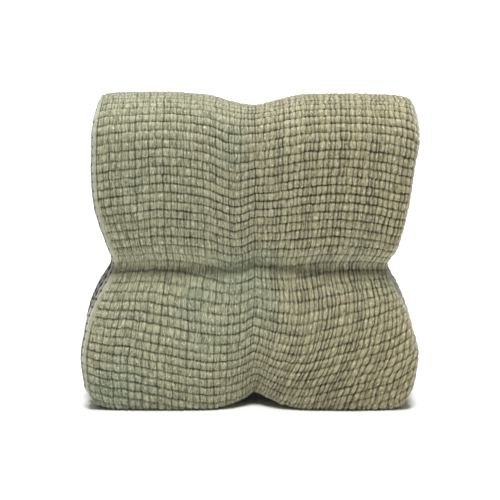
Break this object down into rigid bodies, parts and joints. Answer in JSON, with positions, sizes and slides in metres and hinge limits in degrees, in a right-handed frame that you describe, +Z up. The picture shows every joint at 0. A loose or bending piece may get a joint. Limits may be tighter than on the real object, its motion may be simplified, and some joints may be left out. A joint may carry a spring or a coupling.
{
  "type": "folded muslin bedspread",
  "caption": "Crinkled sage-green muslin bedspread folded into a thick upright bundle with soft, puffed quarters.",
  "frame": {"origin": "on the surface that the bundle stands on, under the middle of its box", "axes": "+Z up from the surface; -Y out of the broad face that shows in the picture; -X toward the hemmed side, +X toward the folded side"},
  "size_m": [0.36, 0.1388, 0.332],
  "materials": {
    "muslin": "matte"
  },
  "bodies": {
    "root": {"bedspread": "muslin"}
  },
  "joints": []
}
